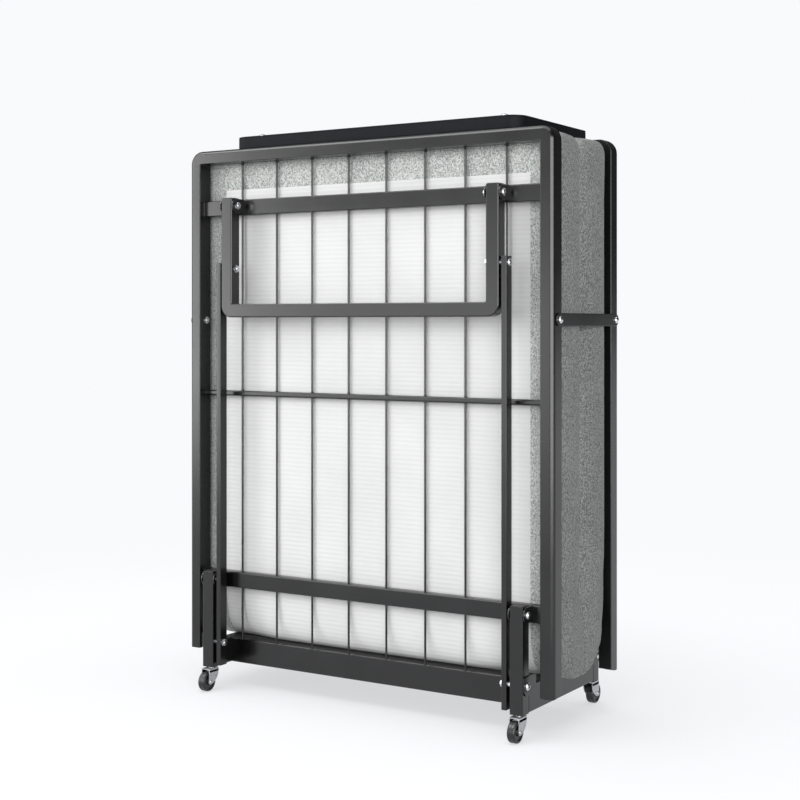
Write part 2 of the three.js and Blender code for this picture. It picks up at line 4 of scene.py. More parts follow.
import bmesh
import bpy
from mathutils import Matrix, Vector


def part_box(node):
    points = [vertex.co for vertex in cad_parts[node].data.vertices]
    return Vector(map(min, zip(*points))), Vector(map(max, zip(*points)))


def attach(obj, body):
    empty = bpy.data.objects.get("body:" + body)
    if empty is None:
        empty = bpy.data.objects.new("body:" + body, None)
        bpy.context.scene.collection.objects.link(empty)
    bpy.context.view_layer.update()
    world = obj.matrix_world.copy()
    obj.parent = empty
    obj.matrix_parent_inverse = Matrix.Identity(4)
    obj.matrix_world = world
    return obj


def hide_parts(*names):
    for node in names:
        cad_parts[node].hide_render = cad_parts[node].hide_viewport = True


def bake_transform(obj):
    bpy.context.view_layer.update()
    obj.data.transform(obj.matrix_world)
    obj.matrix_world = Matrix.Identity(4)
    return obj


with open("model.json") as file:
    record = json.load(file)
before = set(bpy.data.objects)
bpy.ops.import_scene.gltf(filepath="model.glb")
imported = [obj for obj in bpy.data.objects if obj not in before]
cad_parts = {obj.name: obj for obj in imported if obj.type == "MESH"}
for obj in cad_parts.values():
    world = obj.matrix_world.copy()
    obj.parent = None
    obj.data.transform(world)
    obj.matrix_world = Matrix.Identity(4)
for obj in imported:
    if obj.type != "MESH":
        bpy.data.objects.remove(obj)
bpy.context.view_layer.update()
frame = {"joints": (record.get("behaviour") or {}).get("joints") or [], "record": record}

# Folding cot, folded upright. Metres, in the frame's own axes: X across the bed, Y from the near
# deck to the far deck, Z up. Each half is built from distances out from the mid-plane (Y = 0),
# with way = -1 for the near half and +1 for the far half.

scene = bpy.context.scene

HALVES = (("near", -1), ("far", 1))
SIDES = (("left", -1), ("right", 1))
BODY_OF = {
    node: body
    for body, nodes in frame["record"]["behaviour"]["bodies"].items()
    for node in nodes
}
JOINT_AT = {joint["name"]: Vector(joint["pos_m"]) for joint in frame["joints"]}

# ---- Sizes that the frame's boxes don't give ----
MM = 0.001
DECK_TUBE = 25 * MM
DECK_BEND = 25 * MM
DECK_INNER_BEND = 2 * MM
DECK_OUTER_EDGE = 9 * MM
DECK_EDGE = 1.5 * MM
DECK_RELIEF = 20 * MM
DECK_RELIEF_RISE = 4.5 * MM
BAR = 25 * MM
BAR_EDGE = 2.5 * MM
LEG_BEND = 22 * MM
LEG_INNER_BEND = 3 * MM
RAIL_EDGE = 3 * MM
CROSSBAR_DEEP = 17.9 * MM
EAR_THICK = 2.5 * MM
EAR_NOSE = 13.5 * MM
EAR_PLAY = 0.5 * MM
WIRE_RADIUS = 2 * MM
WIRE_COUNT = 8
WIRE_PITCH = 81.8 * MM
MID_BAR_Z = 566 * MM
MID_BAR_HEIGHT = 10 * MM
SHANK_RADIUS = 3.7 * MM
HEAD_RADIUS = 6.8 * MM
NUT_RADIUS = 6.4 * MM
SPACER_RADIUS = 6.2 * MM
WASHER_THICK = 1.1 * MM
LATCH_THICK = 3 * MM
PLUG_RISE = 1.2 * MM
PLUG_INSET = 1.6 * MM
CAP_GAP = 0.3 * MM

RIM_STEPS = 5
CORNER_STEPS = 6
BEND_STEPS = 14
TURN_STEPS = 32
TINY = 0.02 * MM
SMOOTH_ANGLE = math.radians(38)


# ---- Shape helpers ----
def along(axis, position, u, v):
    """A point at a position on an axis, with u and v on the two others in X, Y, Z order."""
    if axis == "x":
        return Vector((position, u, v))
    if axis == "y":
        return Vector((u, position, v))
    return Vector((u, v, position))


def arc(u, v, radius, start, end, steps):
    """Points on an arc from start to end, in degrees."""
    points = []
    for i in range(steps + 1):
        angle = math.radians(start + (end - start) * i / steps)
        points.append(Vector((u + radius * math.cos(angle), v + radius * math.sin(angle))))
    return points


def rounded_box(u0, u1, v0, v1, radius, steps=CORNER_STEPS):
    """A counter-clockwise rectangle with rounded corners."""
    return (
        arc(u1 - radius, v0 + radius, radius, -90, 0, steps)
        + arc(u1 - radius, v1 - radius, radius, 0, 90, steps)
        + arc(u0 + radius, v1 - radius, radius, 90, 180, steps)
        + arc(u0 + radius, v0 + radius, radius, 180, 270, steps)
    )


def u_outline(outer, tube, closed, opened, bend, inner_bend):
    """A counter-clockwise U of tube, bent at closed and cut square at opened."""
    way = 1 if closed > opened else -1
    top = way * closed
    inner = outer - tube
    points = [Vector((outer, way * opened))]
    points += arc(outer - bend, top - bend, bend, 0, 90, BEND_STEPS)
    points += arc(bend - outer, top - bend, bend, 90, 180, BEND_STEPS)
    points += [Vector((-outer, way * opened)), Vector((-inner, way * opened))]
    under = top - tube - inner_bend
    points += arc(inner_bend - inner, under, inner_bend, 180, 90, CORNER_STEPS)
    points += arc(inner - inner_bend, under, inner_bend, 90, 0, CORNER_STEPS)
    points.append(Vector((inner, way * opened)))
    if way > 0:
        return points
    return [Vector((p.x, -p.y)) for p in reversed(points)]


def inset_outline(points, inset, held=None):
    """The outline moved inwards, by one inset or by one for each point.

    Points whose v is held keep it, as at a square-cut end.
    """
    insets = inset if isinstance(inset, list) else [inset] * len(points)
    moved = []
    count = len(points)
    for i, point in enumerate(points):
        before = (point - points[i - 1]).normalized()
        after = (points[(i + 1) % count] - point).normalized()
        normal_before = Vector((-before.y, before.x))
        normal_after = Vector((-after.y, after.x))
        share = insets[i] / (1 + normal_before.dot(normal_after))
        place = point + (normal_before + normal_after) * share
        if held is not None and abs(point.y - held) < TINY:
            place.y = held
        moved.append(place)
    return moved


def rounding(depth, radius):
    """How far an edge of that radius has drawn in, at a depth under the face."""
    if depth >= radius:
        return 0.0
    return radius - math.sqrt(radius ** 2 - (radius - depth) ** 2)


def rim_stations(start, end, radius, steps=RIM_STEPS, between=()):
    """Places along an extrusion with rounded rims, as (position, inset) pairs."""
    if not radius:
        return [(start, 0), *[(p, 0) for p in between], (end, 0)]
    way = 1 if end > start else -1
    rim = []
    for i in range(steps + 1):
        angle = i / steps * math.pi / 2
        rim.append((radius * (1 - math.cos(angle)), radius * (1 - math.sin(angle))))
    first = [(start + way * depth, inset) for depth, inset in rim]
    last = [(end - way * depth, inset) for depth, inset in reversed(rim)]
    return first + [(p, 0) for p in between] + last


class Shell:
    """The vertices and faces of one piece, made of closed lofts."""

    def __init__(self):
        self.vertices = []
        self.faces = []

    def loft(self, rings, wrapped=False):
        first = len(self.vertices)
        count = len(rings[0])
        for ring in rings:
            self.vertices.extend(ring)
        total = len(rings)
        for r in range(total if wrapped else total - 1):
            low = first + r * count
            high = first + (r + 1) % total * count
            for i in range(count):
                j = (i + 1) % count
                self.faces.append((low + i, low + j, high + j, high + i))
        if not wrapped:
            self.faces.append(tuple(first + i for i in reversed(range(count))))
            last = first + (total - 1) * count
            self.faces.append(tuple(last + i for i in range(count)))

    def prism(self, outline, axis, stations, held=None):
        """An outline extruded through (position, inset) stations."""
        rings = []
        for position, inset in stations:
            ring = inset_outline(outline, inset, held)
            rings.append([along(axis, position, p.x, p.y) for p in ring])
        self.loft(rings)

    def bar(self, outline, axis, start, end, rim=0.0):
        self.prism(outline, axis, rim_stations(start, end, rim, 3))

    def turn(self, profile, axis, centre, way=1, steps=TURN_STEPS, wrapped=False):
        """Revolves (radius, height) pairs about an axis, with heights from the centre."""
        rings = []
        for radius, height in profile:
            ring = []
            for i in range(steps):
                angle = 2 * math.pi * i / steps
                reach = max(radius, TINY)
                u, v = reach * math.cos(angle), reach * math.sin(angle)
                ring.append(Vector(centre) + along(axis, way * height, u, v))
            rings.append(ring)
        self.loft(rings, wrapped)

    def block(self, low, high, rim=0.0, corner=0.0):
        """A box along Z, with rounded upright corners and rims."""
        outline = rounded_box(low[0], high[0], low[1], high[1], corner or TINY, 4)
        self.bar(outline, "z", low[2], high[2], rim)


def dome(radius, base, top, rim=0.0, steps=6):
    """The profile of a domed head, from its base to its pole."""
    points = [(radius, base), (radius, base + rim)]
    for i in range(1, steps + 1):
        angle = i / steps * math.pi / 2
        height = base + rim + (top - base - rim) * math.sin(angle)
        points.append((radius * math.cos(angle), height))
    return points


def hexagon(radius, u, v):
    return arc(u, v, radius, 0, 300, 5)


def make_object(name, shell, materials):
    mesh = bpy.data.meshes.new(name)
    mesh.from_pydata(shell.vertices, [], shell.faces)
    tidy = bmesh.new()
    tidy.from_mesh(mesh)
    bmesh.ops.recalc_face_normals(tidy, faces=tidy.faces)
    tidy.to_mesh(mesh)
    tidy.free()
    for material in materials:
        mesh.materials.append(material)
    mesh.shade_smooth()
    mesh.set_sharp_from_angle(angle=SMOOTH_ANGLE)
    piece = bpy.data.objects.new(name, mesh)
    scene.collection.objects.link(piece)
    return piece


def rigid_piece(name, shell, material, slot, *nodes, body=None):
    """A finished rigid piece, which rides on the body of the first node that it stands for."""
    piece = make_object(name, shell, [material])
    flat = piece.modifiers.new("even_normals", "WEIGHTED_NORMAL")
    flat.keep_sharp = True
    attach(piece, body or BODY_OF[nodes[0]])
    if nodes:
        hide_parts(*nodes)
    return piece


# ---- Camera, light and floor ----
BACKGROUND = (0.947, 0.955, 0.972, 1)
FLOOR_ALBEDO = 0.44
FLOOR_FILL = 0.627
DIM_LEVEL = 0.08
DIFFUSE_DIM_LEVEL = 0.45
DIFFUSE_SHARE = 0.7


def add_camera():
    data = bpy.data.cameras.new("camera")
    data.lens = 66.42
    data.sensor_width = 36
    data.shift_y = -0.0966
    camera = bpy.data.objects.new("camera", data)
    camera.location = (1.4712, -2.3448, 0.701)
    camera.rotation_euler = (math.radians(90), 0, math.radians(31.99))
    scene.collection.objects.link(camera)
    scene.camera = camera


def add_world():
    """White in the picture. What the cot reflects is bright in front and dim behind it to the right."""
    world = bpy.data.worlds.new("studio")
    world.use_nodes = True
    scene.world = world
    nodes, links = world.node_tree.nodes, world.node_tree.links
    nodes.clear()
    direction = nodes.new("ShaderNodeTexCoord")
    towards_front = nodes.new("ShaderNodeVectorMath")
    towards_front.operation = "DOT_PRODUCT"
    towards_front.inputs[1].default_value = (-0.55, -0.83, 0.08)
    links.new(direction.outputs["Generated"], towards_front.inputs[0])
    level = nodes.new("ShaderNodeMapRange")
    level.interpolation_type = "SMOOTHSTEP"
    level.inputs["From Min"].default_value = -0.15
    level.inputs["From Max"].default_value = 0.75
    level.inputs["To Max"].default_value = 1
    links.new(towards_front.outputs["Value"], level.inputs["Value"])
    path = nodes.new("ShaderNodeLightPath")
    dim = nodes.new("ShaderNodeMapRange")
    dim.inputs["To Min"].default_value = DIM_LEVEL
    dim.inputs["To Max"].default_value = DIFFUSE_DIM_LEVEL
    links.new(path.outputs["Is Diffuse Ray"], dim.inputs["Value"])
    links.new(dim.outputs["Result"], level.inputs["To Min"])
    share = nodes.new("ShaderNodeMapRange")
    share.inputs["To Min"].default_value = 1
    share.inputs["To Max"].default_value = DIFFUSE_SHARE
    links.new(path.outputs["Is Diffuse Ray"], share.inputs["Value"])
    strength = nodes.new("ShaderNodeMath")
    strength.operation = "MULTIPLY"
    links.new(level.outputs["Result"], strength.inputs[0])
    links.new(share.outputs["Result"], strength.inputs[1])
    lit = nodes.new("ShaderNodeBackground")
    lit.inputs["Color"].default_value = BACKGROUND
    links.new(strength.outputs["Value"], lit.inputs["Strength"])
    seen = nodes.new("ShaderNodeBackground")
    seen.inputs["Color"].default_value = BACKGROUND
    mix = nodes.new("ShaderNodeMixShader")
    links.new(path.outputs["Is Camera Ray"], mix.inputs[0])
    links.new(lit.outputs[0], mix.inputs[1])
    links.new(seen.outputs[0], mix.inputs[2])
    output = nodes.new("ShaderNodeOutputWorld")
    links.new(mix.outputs[0], output.inputs["Surface"])


def add_floor():
    shell = Shell()
    shell.block((-40, -40, -0.02), (40, 40, 0))
    floor_material, nodes, links, shader = new_material("pale_floor")
    shader.inputs["Base Color"].default_value = [FLOOR_ALBEDO * c for c in BACKGROUND[:3]] + [1]
    shader.inputs["Roughness"].default_value = 1
    shader.inputs["Specular IOR Level"].default_value = 0
    shader.inputs["Emission Color"].default_value = BACKGROUND
    shader.inputs["Emission Strength"].default_value = FLOOR_FILL
    far = nodes.new("ShaderNodeEmission")
    far.inputs["Color"].default_value = BACKGROUND
    place = nodes.new("ShaderNodeTexCoord")
    distance = nodes.new("ShaderNodeVectorMath")
    distance.operation = "LENGTH"
    links.new(place.outputs["Object"], distance.inputs[0])
    fade = nodes.new("ShaderNodeMapRange")
    fade.interpolation_type = "SMOOTHSTEP"
    fade.inputs["From Min"].default_value = 0.9
    fade.inputs["From Max"].default_value = 2.2
    links.new(distance.outputs["Value"], fade.inputs["Value"])
    mix = nodes.new("ShaderNodeMixShader")
    links.new(fade.outputs["Result"], mix.inputs[0])
    links.new(shader.outputs[0], mix.inputs[1])
    links.new(far.outputs[0], mix.inputs[2])
    links.new(mix.outputs[0], nodes["Material Output"].inputs["Surface"])
    floor = make_object("floor", shell, [floor_material])
    floor.visible_diffuse = False
    return floor


def add_softbox(name, place, aim, size, radiance, unlit=(), diffuse=True, gloss=True):
    """A soft area light of an even radiance, which leaves the pieces in unlit dark."""
    width, height = size
    data = bpy.data.lights.new(name, "AREA")
    data.shape = "RECTANGLE"
    data.size = width
    data.size_y = height
    data.energy = radiance * math.pi * width * height
    light = bpy.data.objects.new(name, data)
    light.location = place
    light.rotation_euler = (Vector(aim) - Vector(place)).to_track_quat("-Z", "Y").to_euler()
    light.visible_camera = False
    light.visible_diffuse = diffuse
    light.visible_glossy = gloss
    scene.collection.objects.link(light)
    lit = bpy.data.collections.new(f"{name}_receivers")
    for piece in unlit:
        lit.objects.link(piece)
    for member in lit.collection_objects:
        member.light_linking.link_state = "EXCLUDE"
    light.light_linking.receiver_collection = lit


# ---- Materials ----
def new_material(name):
    material = bpy.data.materials.new(name)
    material.use_nodes = True
    nodes, links = material.node_tree.nodes, material.node_tree.links
    return material, nodes, links, nodes["Principled BSDF"]


def place_node(nodes, attribute=None):
    """Where a point is on the piece, or in a stored attribute that bending leaves alone."""
    if attribute:
        node = nodes.new("ShaderNodeAttribute")
        node.attribute_name = attribute
        return node.outputs["Vector"]
    return nodes.new("ShaderNodeTexCoord").outputs["Object"]


def noise_node(nodes, links, place, scale, detail=3, stretch=None):
    if stretch:
        mapping = nodes.new("ShaderNodeMapping")
        mapping.inputs["Scale"].default_value = stretch
        links.new(place, mapping.inputs["Vector"])
        place = mapping.outputs["Vector"]
    node = nodes.new("ShaderNodeTexNoise")
    node.inputs["Scale"].default_value = scale
    node.inputs["Detail"].default_value = detail
    links.new(place, node.inputs["Vector"])
    return node.outputs["Fac"]


def spread(nodes, links, value, low, high, to_low, to_high):
    node = nodes.new("ShaderNodeMapRange")
    node.inputs["From Min"].default_value = low
    node.inputs["From Max"].default_value = high
    node.inputs["To Min"].default_value = to_low
    node.inputs["To Max"].default_value = to_high
    links.new(value, node.inputs["Value"])
    return node.outputs["Result"]


def combine(nodes, links, operation, first, second):
    node = nodes.new("ShaderNodeMath")
    node.operation = operation
    for socket, value in zip(node.inputs, (first, second)):
        if isinstance(value, (int, float)):
            socket.default_value = value
        else:
            links.new(value, socket)
    return node.outputs["Value"]


def ramp(nodes, links, value, stops):
    node = nodes.new("ShaderNodeValToRGB")
    elements = node.color_ramp.elements
    while len(elements) < len(stops):
        elements.new(0.5)
    for element, (position, colour) in zip(elements, stops):
        element.position = position
        element.color = (*colour, 1)
    links.new(value, node.inputs["Fac"])
    return node.outputs["Color"]


def bump(nodes, links, shader, height, distance, strength=1.0):
    node = nodes.new("ShaderNodeBump")
    node.inputs["Strength"].default_value = strength
    node.inputs["Distance"].default_value = distance
    links.new(height, node.inputs["Height"])
    links.new(node.outputs["Normal"], shader.inputs["Normal"])


def black_paint():
    """Gloss black powder coat, with a faint orange peel and patches that are a little duller."""
    material, nodes, links, shader = new_material("black_paint")
    place = place_node(nodes)
    patches = noise_node(nodes, links, place, 9, 4)
    grain = noise_node(nodes, links, place, 260, 2)
    colour = ramp(nodes, links, patches, [(0.3, (0.0028, 0.0029, 0.0032)), (0.7, (0.0045, 0.0046, 0.005))])
    links.new(colour, shader.inputs["Base Color"])
    links.new(spread(nodes, links, patches, 0.3, 0.7, 0.2, 0.27), shader.inputs["Roughness"])
    bump(nodes, links, shader, grain, 0.05 * MM, 0.25)
    return material


def chrome():
    """Bright plating, with fine turning marks and small dull patches."""
    material, nodes, links, shader = new_material("chrome")
    place = place_node(nodes)
    patches = noise_node(nodes, links, place, 120, 3)
    marks = noise_node(nodes, links, place, 500, 2, (1, 1, 6))
    colour = ramp(nodes, links, patches, [(0.25, (0.5, 0.51, 0.53)), (0.75, (0.72, 0.73, 0.75))])
    links.new(colour, shader.inputs["Base Color"])
    shader.inputs["Metallic"].default_value = 1
    links.new(spread(nodes, links, patches, 0.2, 0.8, 0.1, 0.22), shader.inputs["Roughness"])
    bump(nodes, links, shader, marks, 0.03 * MM, 0.3)
    return material


def zinc():
    """Dull bright zinc of the pressed forks, with faint cloudy crystals."""
    material, nodes, links, shader = new_material("zinc")
    place = place_node(nodes)
    clouds = noise_node(nodes, links, place, 160, 4)
    grain = noise_node(nodes, links, place, 900, 2)
    colour = ramp(nodes, links, clouds, [(0.3, (0.34, 0.345, 0.355)), (0.7, (0.52, 0.525, 0.54))])
    links.new(colour, shader.inputs["Base Color"])
    shader.inputs["Metallic"].default_value = 1
    links.new(spread(nodes, links, clouds, 0.3, 0.7, 0.24, 0.38), shader.inputs["Roughness"])
    bump(nodes, links, shader, grain, 0.03 * MM, 0.3)
    return material


def wheel_rubber():
    """Hard black tread, semi-gloss, with a moulded grain."""
    material, nodes, links, shader = new_material("wheel_rubber")
    place = place_node(nodes)
    grain = noise_node(nodes, links, place, 700, 3)
    scuffs = noise_node(nodes, links, place, 90, 4)
    colour = ramp(nodes, links, scuffs, [(0.35, (0.006, 0.006, 0.007)), (0.75, (0.014, 0.014, 0.015))])
    links.new(colour, shader.inputs["Base Color"])
    links.new(spread(nodes, links, scuffs, 0.3, 0.8, 0.28, 0.45), shader.inputs["Roughness"])
    bump(nodes, links, shader, grain, 0.06 * MM, 0.4)
    return material


def cap_plastic():
    """Matt black plastic of the tube plugs."""
    material, nodes, links, shader = new_material("cap_plastic")
    place = place_node(nodes)
    grain = noise_node(nodes, links, place, 900, 2)
    colour = ramp(nodes, links, grain, [(0.3, (0.008, 0.008, 0.009)), (0.7, (0.013, 0.013, 0.014))])
    links.new(colour, shader.inputs["Base Color"])
    shader.inputs["Roughness"].default_value = 0.5
    bump(nodes, links, shader, grain, 0.05 * MM, 0.5)
    return material


def board_laminate():
    """Matt blue-black laminate with a fine leather-like print."""
    material, nodes, links, shader = new_material("board_laminate")
    place = place_node(nodes)
    cells = nodes.new("ShaderNodeTexVoronoi")
    cells.inputs["Scale"].default_value = 420
    links.new(place, cells.inputs["Vector"])
    clouds = noise_node(nodes, links, place, 14, 4)
    colour = ramp(nodes, links, clouds, [(0.3, (0.0045, 0.005, 0.0066)), (0.7, (0.0062, 0.0068, 0.0086))])
    links.new(colour, shader.inputs["Base Color"])
    links.new(spread(nodes, links, clouds, 0.3, 0.7, 0.5, 0.6), shader.inputs["Roughness"])
    shader.inputs["Specular IOR Level"].default_value = 0.1
    bump(nodes, links, shader, cells.outputs["Distance"], 0.12 * MM, 0.5)
    return material


# How far the side boxing is darkened, as a painted shade for the weaker light on the sides.
BOXING_PAINTED_SHADE = 0.72
BOXING_FROM = 362 * MM
BOXING_TO = 380 * MM
GATHER_LOW = 110 * MM
GATHER_HIGH = 240 * MM
GATHER_DEPTH = 8
CREASE_HALF = 8 * MM
CREASE_DEPTH = 4


def grey_knit():
    """Grey marl knit: rows of loops, with light and dark fibres spun together."""
    material, nodes, links, shader = new_material("grey_knit")
    place = place_node(nodes, "rest_place")
    flecks = noise_node(nodes, links, place, 450, 2, (1, 1, 0.7))
    fibres = noise_node(nodes, links, place, 1100, 2, (1, 1, 0.5))
    clouds = noise_node(nodes, links, place, 12, 3)
    mixed = combine(nodes, links, "MULTIPLY", flecks, 0.62)
    mixed = combine(nodes, links, "ADD", mixed, combine(nodes, links, "MULTIPLY", fibres, 0.3))
    mixed = combine(nodes, links, "ADD", mixed, combine(nodes, links, "MULTIPLY", clouds, 0.08))
    colour = ramp(
        nodes, links, mixed,
        [(0.38, (0.19, 0.2, 0.193)), (0.49, (0.385, 0.4, 0.387)), (0.6, (0.62, 0.635, 0.62))],
    )
    # A painted shade: the boxing round the sides is darkened to stand in for the weaker light that falls on the
    # sides.
    axes = nodes.new("ShaderNodeSeparateXYZ")
    links.new(place, axes.inputs[0])
    out = combine(nodes, links, "ABSOLUTE", axes.outputs["X"], 0)
    shaded = nodes.new("ShaderNodeVectorMath")
    shaded.operation = "SCALE"
    links.new(colour, shaded.inputs[0])
    shade = spread(nodes, links, out, BOXING_FROM, BOXING_TO, 1, BOXING_PAINTED_SHADE)
    links.new(shade, shaded.inputs["Scale"])
    links.new(shaded.outputs["Vector"], shader.inputs["Base Color"])
    shader.inputs["Roughness"].default_value = 0.95
    shader.inputs["Specular IOR Level"].default_value = 0.15
    shader.inputs["Sheen Weight"].default_value = 0.18
    shader.inputs["Sheen Roughness"].default_value = 0.5
    rows = nodes.new("ShaderNodeTexWave")
    rows.bands_direction = "Z"
    rows.inputs["Scale"].default_value = 90
    rows.inputs["Distortion"].default_value = 3
    rows.inputs["Detail Scale"].default_value = 4
    links.new(place, rows.inputs["Vector"])
    loops = combine(nodes, links, "ADD", rows.outputs["Fac"], flecks)
    # The sides are gathered in upright folds above the foot, and drawn in beside the mid-plane.
    gathers = noise_node(nodes, links, place, 1, 2, (0, 120, 9))
    low_down = spread(nodes, links, axes.outputs["Z"], GATHER_LOW, GATHER_HIGH, GATHER_DEPTH, 0)
    gathers = combine(nodes, links, "MULTIPLY", gathers, low_down)
    across = combine(nodes, links, "ABSOLUTE", axes.outputs["Y"], 0)
    crease = spread(nodes, links, across, 0, CREASE_HALF, -CREASE_DEPTH, 0)
    folds = combine(nodes, links, "ADD", gathers, crease)
    on_side = spread(nodes, links, out, BOXING_FROM, BOXING_TO, 0, 1)
    folds = combine(nodes, links, "MULTIPLY", folds, on_side)
    bump(nodes, links, shader, combine(nodes, links, "ADD", loops, folds), 0.7 * MM, 0.5)
    return material


def white_backing():
    """White non-woven backing with fine pressed ribs across the bed."""
    material, nodes, links, shader = new_material("white_backing")
    place = place_node(nodes, "rest_place")
    ribs = nodes.new("ShaderNodeTexWave")
    ribs.bands_direction = "Z"
    ribs.inputs["Scale"].default_value = 38
    ribs.inputs["Distortion"].default_value = 0.6
    ribs.inputs["Detail"].default_value = 2
    links.new(place, ribs.inputs["Vector"])
    felt = noise_node(nodes, links, place, 240, 4)
    clouds = noise_node(nodes, links, place, 7, 3)
    shade = combine(nodes, links, "ADD", combine(nodes, links, "MULTIPLY", ribs.outputs["Fac"], 0.25), clouds)
    colour = ramp(nodes, links, shade, [(0.3, (0.58, 0.58, 0.58)), (0.9, (0.665, 0.665, 0.665))])
    links.new(colour, shader.inputs["Base Color"])
    shader.inputs["Roughness"].default_value = 0.85
    shader.inputs["Specular IOR Level"].default_value = 0.2
    height = combine(nodes, links, "ADD", ribs.outputs["Fac"], combine(nodes, links, "MULTIPLY", felt, 0.4))
    bump(nodes, links, shader, height, 0.5 * MM, 0.5)
    return material


PAINT = black_paint()
CHROME = chrome()
ZINC = zinc()
RUBBER = wheel_rubber()
CAP = cap_plastic()
LAMINATE = board_laminate()
KNIT = grey_knit()
BACKING = white_backing()

# ---- Places from the frame ----
deck_low, deck_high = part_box("deck_frame_far")
post_low, post_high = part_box("post_far_right")
leg_low, leg_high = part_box("leg_far")
link_low, link_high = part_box("link_far_right")
side_rail_low, side_rail_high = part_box("side_rail_right")
cross_rail_low, cross_rail_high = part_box("cross_rail_far")
DECK_HALF = deck_high.x
DECK_INSIDE = DECK_HALF - DECK_TUBE
PIVOT_OUT = -JOINT_AT["unfold"].y
PIVOT_A = JOINT_AT["unfold"].z
PIVOT_B = JOINT_AT["leg_swing_near"].z
PIVOT_D = JOINT_AT["link_swing_near"].z
PIVOT_C = PIVOT_B - (PIVOT_A - PIVOT_D)
POST_INNER = link_high.x + 6.6 * MM
POST_OUTER = POST_INNER + BAR
LEG_OUTER = leg_high.x
LEG_INNER = LEG_OUTER - BAR


# ---- Deck ----
def weld_bead(shell, outline, x, reach):
    """A low bead round a bar's end, where it meets a wall at x."""
    steps = 4
    swollen = inset_outline(outline, -reach)
    rings = []
    for i in range(steps + 1):
        angle = i / steps * math.pi / 2
        depth = math.copysign(reach * math.sin(angle), -x)
        ring = inset_outline(swollen, reach * (1 - math.cos(angle)))
        rings.append([along("x", x + depth, p.x, p.y) for p in ring])
    shell.loft(rings)


def deck_frame(half, way):
    """A U of tube, well rounded on its outer front edge, with ends cut back on the mattress side."""
    shell = Shell()
    back, front = way * deck_low.y, way * deck_high.y
    outline = u_outline(DECK_HALF, DECK_TUBE, deck_high.z, deck_low.z, DECK_BEND, DECK_INNER_BEND)
    inner_top = deck_high.z - DECK_TUBE
    is_outer = [abs(p.x) > DECK_INSIDE + TINY or p.y > inner_top + TINY for p in outline]
    rim = [DECK_EDGE * i / RIM_STEPS for i in range(RIM_STEPS)]
    wide_rim = [DECK_EDGE + (DECK_OUTER_EDGE - DECK_EDGE) * i / RIM_STEPS for i in range(RIM_STEPS + 1)]
    stations = [(back + way * depth, rounding(depth, DECK_EDGE), rounding(depth, DECK_EDGE)) for depth in rim]
    stations += [(back + way * DECK_EDGE, 0.0, 0.0), (back + way * DECK_RELIEF, 0.0, 0.0)]
    for depth in reversed(rim + wide_rim):
        place = front - way * depth
        stations.append((place, rounding(depth, DECK_OUTER_EDGE), rounding(depth, DECK_EDGE)))
    rings = []
    for place, outer_inset, inner_inset in stations:
        insets = [outer_inset if outer else inner_inset for outer in is_outer]
        ring = inset_outline(outline, insets, deck_low.z)
        rings.append([Vector((p.x, place, p.y)) for p in ring])
    shell.loft(rings)
    for vertex in shell.vertices:
        if abs(vertex.z - deck_low.z) < TINY:
            cut = 1 - abs(vertex.y - back) / DECK_RELIEF
            vertex.z += DECK_RELIEF_RISE * max(0.0, cut)
    node = f"deck_frame_{half}"
    if half == "near":
        add_board_tabs(shell, way)
    rigid_piece(f"painted_{node}", shell, PAINT, "black_paint", node)

    plugs = Shell()
    for _, side in SIDES:
        middle = side * (DECK_HALF - DECK_TUBE / 2)
        reach = DECK_TUBE / 2 - PLUG_INSET
        near_edge, far_edge = sorted((back + way * DECK_RELIEF, front - way * PLUG_INSET))
        outline = rounded_box(middle - reach, middle + reach, near_edge, far_edge, 4 * MM)
        plugs.bar(outline, "z", deck_low.z - PLUG_RISE, deck_low.z + PLUG_INSET, PLUG_RISE / 2)
    rigid_piece(f"deck_end_plugs_{half}", plugs, CAP, "black_paint", body=BODY_OF[node])


def add_board_tabs(shell, way):
    """Two flat tabs from the frame's top, which carry the headboard."""
    board_low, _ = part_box("headboard")
    _, frame_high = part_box("deck_frame_near")
    for label, _ in SIDES:
        bolt_low, bolt_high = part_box(f"headboard_bolt_{label}")
        x = (bolt_low.x + bolt_high.x) / 2
        top = board_low.z - CAP_GAP
        outline = rounded_box(x - 15 * MM, x + 15 * MM, way * (deck_low.y + 8 * MM), frame_high.y, 3 * MM)
        shell.bar(outline, "z", top - 5.2 * MM, top, 0.6 * MM)


def crossbar(label, half, way, pivot_z, tube_inner, tube_outer):
    """A bar welded between the frame's sides, with two ears round each tube that pivots on it."""
    node = f"{label}_crossbar_{half}"
    low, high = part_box(node.replace(half, "far"))
    shell = Shell()
    back, front = sorted((way * low.y, way * (low.y + CROSSBAR_DEEP)))
    section = rounded_box(back, front, low.z, high.z, BAR_EDGE)
    shell.bar(section, "x", low.x, high.x)
    for _, side in SIDES:
        weld_bead(shell, section, side * high.x, 1.0 * MM)
        ear_root = way * (low.y + CROSSBAR_DEEP - 2 * MM)
        start, end = (-90, 90) if way > 0 else (90, 270)
        nose = arc(way * PIVOT_OUT, pivot_z, EAR_NOSE, start, end, BEND_STEPS)
        edge = [Vector((ear_root, pivot_z + way * EAR_NOSE)), Vector((ear_root, pivot_z - way * EAR_NOSE))]
        for x in (tube_inner - EAR_PLAY - EAR_THICK, tube_outer + EAR_PLAY):
            ends = sorted((side * x, side * (x + EAR_THICK)))
            shell.bar(nose + edge, "x", *ends, 0.5 * MM)
    rigid_piece(f"painted_{node}", shell, PAINT, "black_paint", node)


